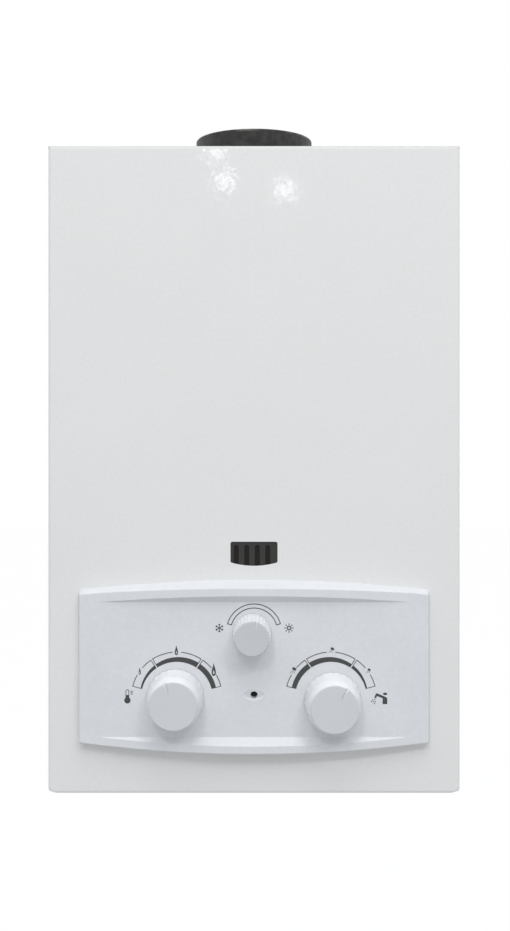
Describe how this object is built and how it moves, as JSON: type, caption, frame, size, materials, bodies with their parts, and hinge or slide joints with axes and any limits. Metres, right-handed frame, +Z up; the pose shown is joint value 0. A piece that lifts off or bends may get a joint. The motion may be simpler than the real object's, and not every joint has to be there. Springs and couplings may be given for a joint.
{
  "type": "gas water heater",
  "caption": "Wall-hung open-flue gas water heater: white sheet-steel case, flame window, control panel with turning knobs, flue collar on top, gas and water connections below.",
  "frame": {"origin": "on the wall plane, midway between the two keyholes of the back plate", "axes": "+X right as seen from the front, +Y into the wall, +Z up"},
  "size_m": [0.29, 0.1551, 0.4819],
  "materials": {
    "cover_white": "white powder coat with a fine orange peel",
    "panel_white": "white moulded plastic, satin",
    "knob_white": "white moulded plastic, satin",
    "collar_black": "black enamel, satin",
    "grille_black": "black paint, matt",
    "galvanised": "zinc-coated sheet with a faint spangle",
    "zinc_screw": "zinc-plated steel",
    "brass_fitting": "machined brass",
    "copper": null,
    "cast_alloy": "die-cast alloy, slightly grainy",
    "steel_part": "bright steel",
    "burner_steel": "stainless burner sheet",
    "rubber_black": "moulded rubber",
    "ceramic_white": "unglazed ceramic",
    "plastic_black": "black moulded plastic",
    "plastic_grey": "grey moulded plastic",
    "cell_jacket": "plain printed jacket"
  },
  "bodies": {
    "casing": {"back_plate": "galvanised", "front_cover": "cover_white", "bottom_plate": "galvanised", "cover_screws": "zinc_screw", "sight_grille": "grille_black", "control_panel": "panel_white", "panel_screw": "grille_black", "panel_nut": "zinc_screw", "gas_valve_body": "cast_alloy", "gas_valve_cap": "cast_alloy", "solenoid_valve": "steel_part", "gas_riser": "copper", "gas_manifold": "galvanised", "injectors": "brass_fitting", "burner_blades": "burner_steel", "burner_frame": "galvanised", "burner_brackets": "galvanised", "water_valve_body": "brass_fitting", "diaphragm": "rubber_black", "water_valve_cover": "brass_fitting", "valve_cover_screws": "zinc_screw", "drain_plug": "brass_fitting", "valve_bridge": "galvanised", "microswitch": "plastic_black", "gas_inlet": "brass_fitting", "cold_inlet": "brass_fitting", "hot_outlet": "brass_fitting", "pipe_locknuts": "brass_fitting", "combustion_chamber": "copper", "chamber_brackets": "galvanised", "exchanger_fins": "copper", "exchanger_tubes": "copper", "chamber_coil": "copper", "feed_pipe": "copper", "outlet_pipe": "copper", "draft_hood": "galvanised", "draft_baffle": "galvanised", "flue_collar": "collar_black", "igniter_module": "plastic_black", "ignition_electrode": "ceramic_white", "flame_probe": "ceramic_white", "battery_box": "plastic_grey", "door_pin": "steel_part", "battery_cells": "cell_jacket", "battery_contacts": "steel_part", "overheat_thermostat": "plastic_black"},
    "gas_control": {"gas_knob": "knob_white", "gas_spindle": "brass_fitting", "gas_plug": "brass_fitting"},
    "water_control": {"water_knob": "knob_white", "water_spindle": "brass_fitting"},
    "season_control": {"season_knob": "knob_white", "season_spindle": "brass_fitting"},
    "battery_flap": {"battery_door": "plastic_grey"},
    "link_rod": {"push_rod": "steel_part"},
    "switch_arm": {"switch_lever": "steel_part"}
  },
  "joints": [
    {"name": "gas_knob_turn", "type": "hinge", "parent": "casing", "child": "gas_control", "pos_m": [-0.0547, -0.125, -0.356], "axis": [0, 1, 0], "range_deg": [-52.6, 95.4]},
    {"name": "water_knob_turn", "type": "hinge", "parent": "casing", "child": "water_control", "pos_m": [0.0547, -0.125, -0.3582], "axis": [0, 1, 0], "range_deg": [-106.7, 41.3]},
    {"name": "season_knob_turn", "type": "hinge", "parent": "casing", "child": "season_control", "pos_m": [-0.0014, -0.125, -0.3111], "axis": [0, 1, 0], "range_deg": [-90, 58]},
    {"name": "battery_door_swing", "type": "hinge", "parent": "casing", "child": "battery_flap", "pos_m": [0.1152, -0.0353, -0.4146], "axis": [1, 0, 0], "range_deg": [0, 100]},
    {"name": "push_rod_slide", "type": "slide", "parent": "casing", "child": "link_rod", "axis": [-1, 0, 0], "range_m": [0, 0.003], "stiffness_N_per_m": 600},
    {"name": "switch_lever_swing", "type": "hinge", "parent": "casing", "child": "switch_arm", "pos_m": [0.0033, -0.092, -0.3421], "axis": [0, 1, 0], "range_deg": [0, 22]}
  ],
  "couplings": [
    {"joint": "switch_lever_swing", "follows": "push_rod_slide", "rad_per_m": 116.36}
  ]
}
